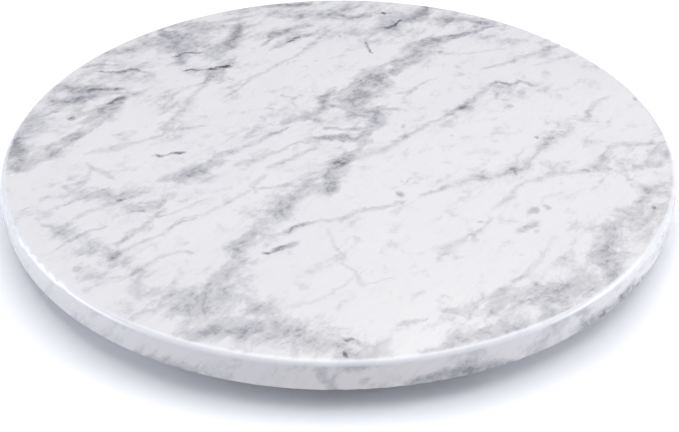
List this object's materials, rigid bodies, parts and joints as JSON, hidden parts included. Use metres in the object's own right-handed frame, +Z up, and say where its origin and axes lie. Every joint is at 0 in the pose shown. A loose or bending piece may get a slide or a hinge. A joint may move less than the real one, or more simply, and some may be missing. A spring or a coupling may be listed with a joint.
{
  "type": "lazy susan turntable",
  "caption": "Low round stone serving turntable on a thin aluminium ball bearing ring with silicone feet; it turns freely by hand.",
  "frame": {"origin": "on the table plane, under the middle of the slab, on the axis that it turns about", "axes": "+Z up along the turning axis; +X and +Y lie in the table plane, +X through a slab screw"},
  "size_m": [0.3048, 0.3048, 0.0235],
  "materials": {
    "marble": "honed white marble with soft grey veins",
    "gasket_rubber": "matte black rubber sheet",
    "ring_aluminium": "turned satin aluminium",
    "ball_steel": "polished bearing steel",
    "screw_steel": "zinc plated steel",
    "insert_brass": "machined brass",
    "cage_nylon": "natural nylon",
    "foot_silicone": "soft black silicone"
  },
  "bodies": {
    "base": {"outer_ring": "ring_aluminium", "ball_fill_plug": "screw_steel", "foot_1": "foot_silicone", "foot_2": "foot_silicone", "foot_3": "foot_silicone", "foot_4": "foot_silicone", "foot_5": "foot_silicone", "foot_6": "foot_silicone"},
    "turntable": {"marble_slab": "marble", "slab_gasket": "gasket_rubber", "inner_ring": "ring_aluminium", "slab_screws": "screw_steel", "slab_inserts": "insert_brass"},
    "ball_train": {"bearing_balls": "ball_steel", "cage_length_1": "cage_nylon", "cage_length_2": "cage_nylon", "cage_length_3": "cage_nylon", "cage_length_4": "cage_nylon", "cage_length_5": "cage_nylon", "cage_length_6": "cage_nylon"}
  },
  "joints": [
    {"name": "turntable_spin", "type": "hinge", "parent": "base", "child": "turntable", "pos_m": [0, 0, 0.00575], "axis": [0, 0, 1], "continuous": true},
    {"name": "ball_train_orbit", "type": "hinge", "parent": "base", "child": "ball_train", "pos_m": [0, 0, 0.00575], "axis": [0, 0, 1], "continuous": true}
  ],
  "couplings": [
    {"joint": "ball_train_orbit", "follows": "turntable_spin", "ratio": 0.4917}
  ]
}
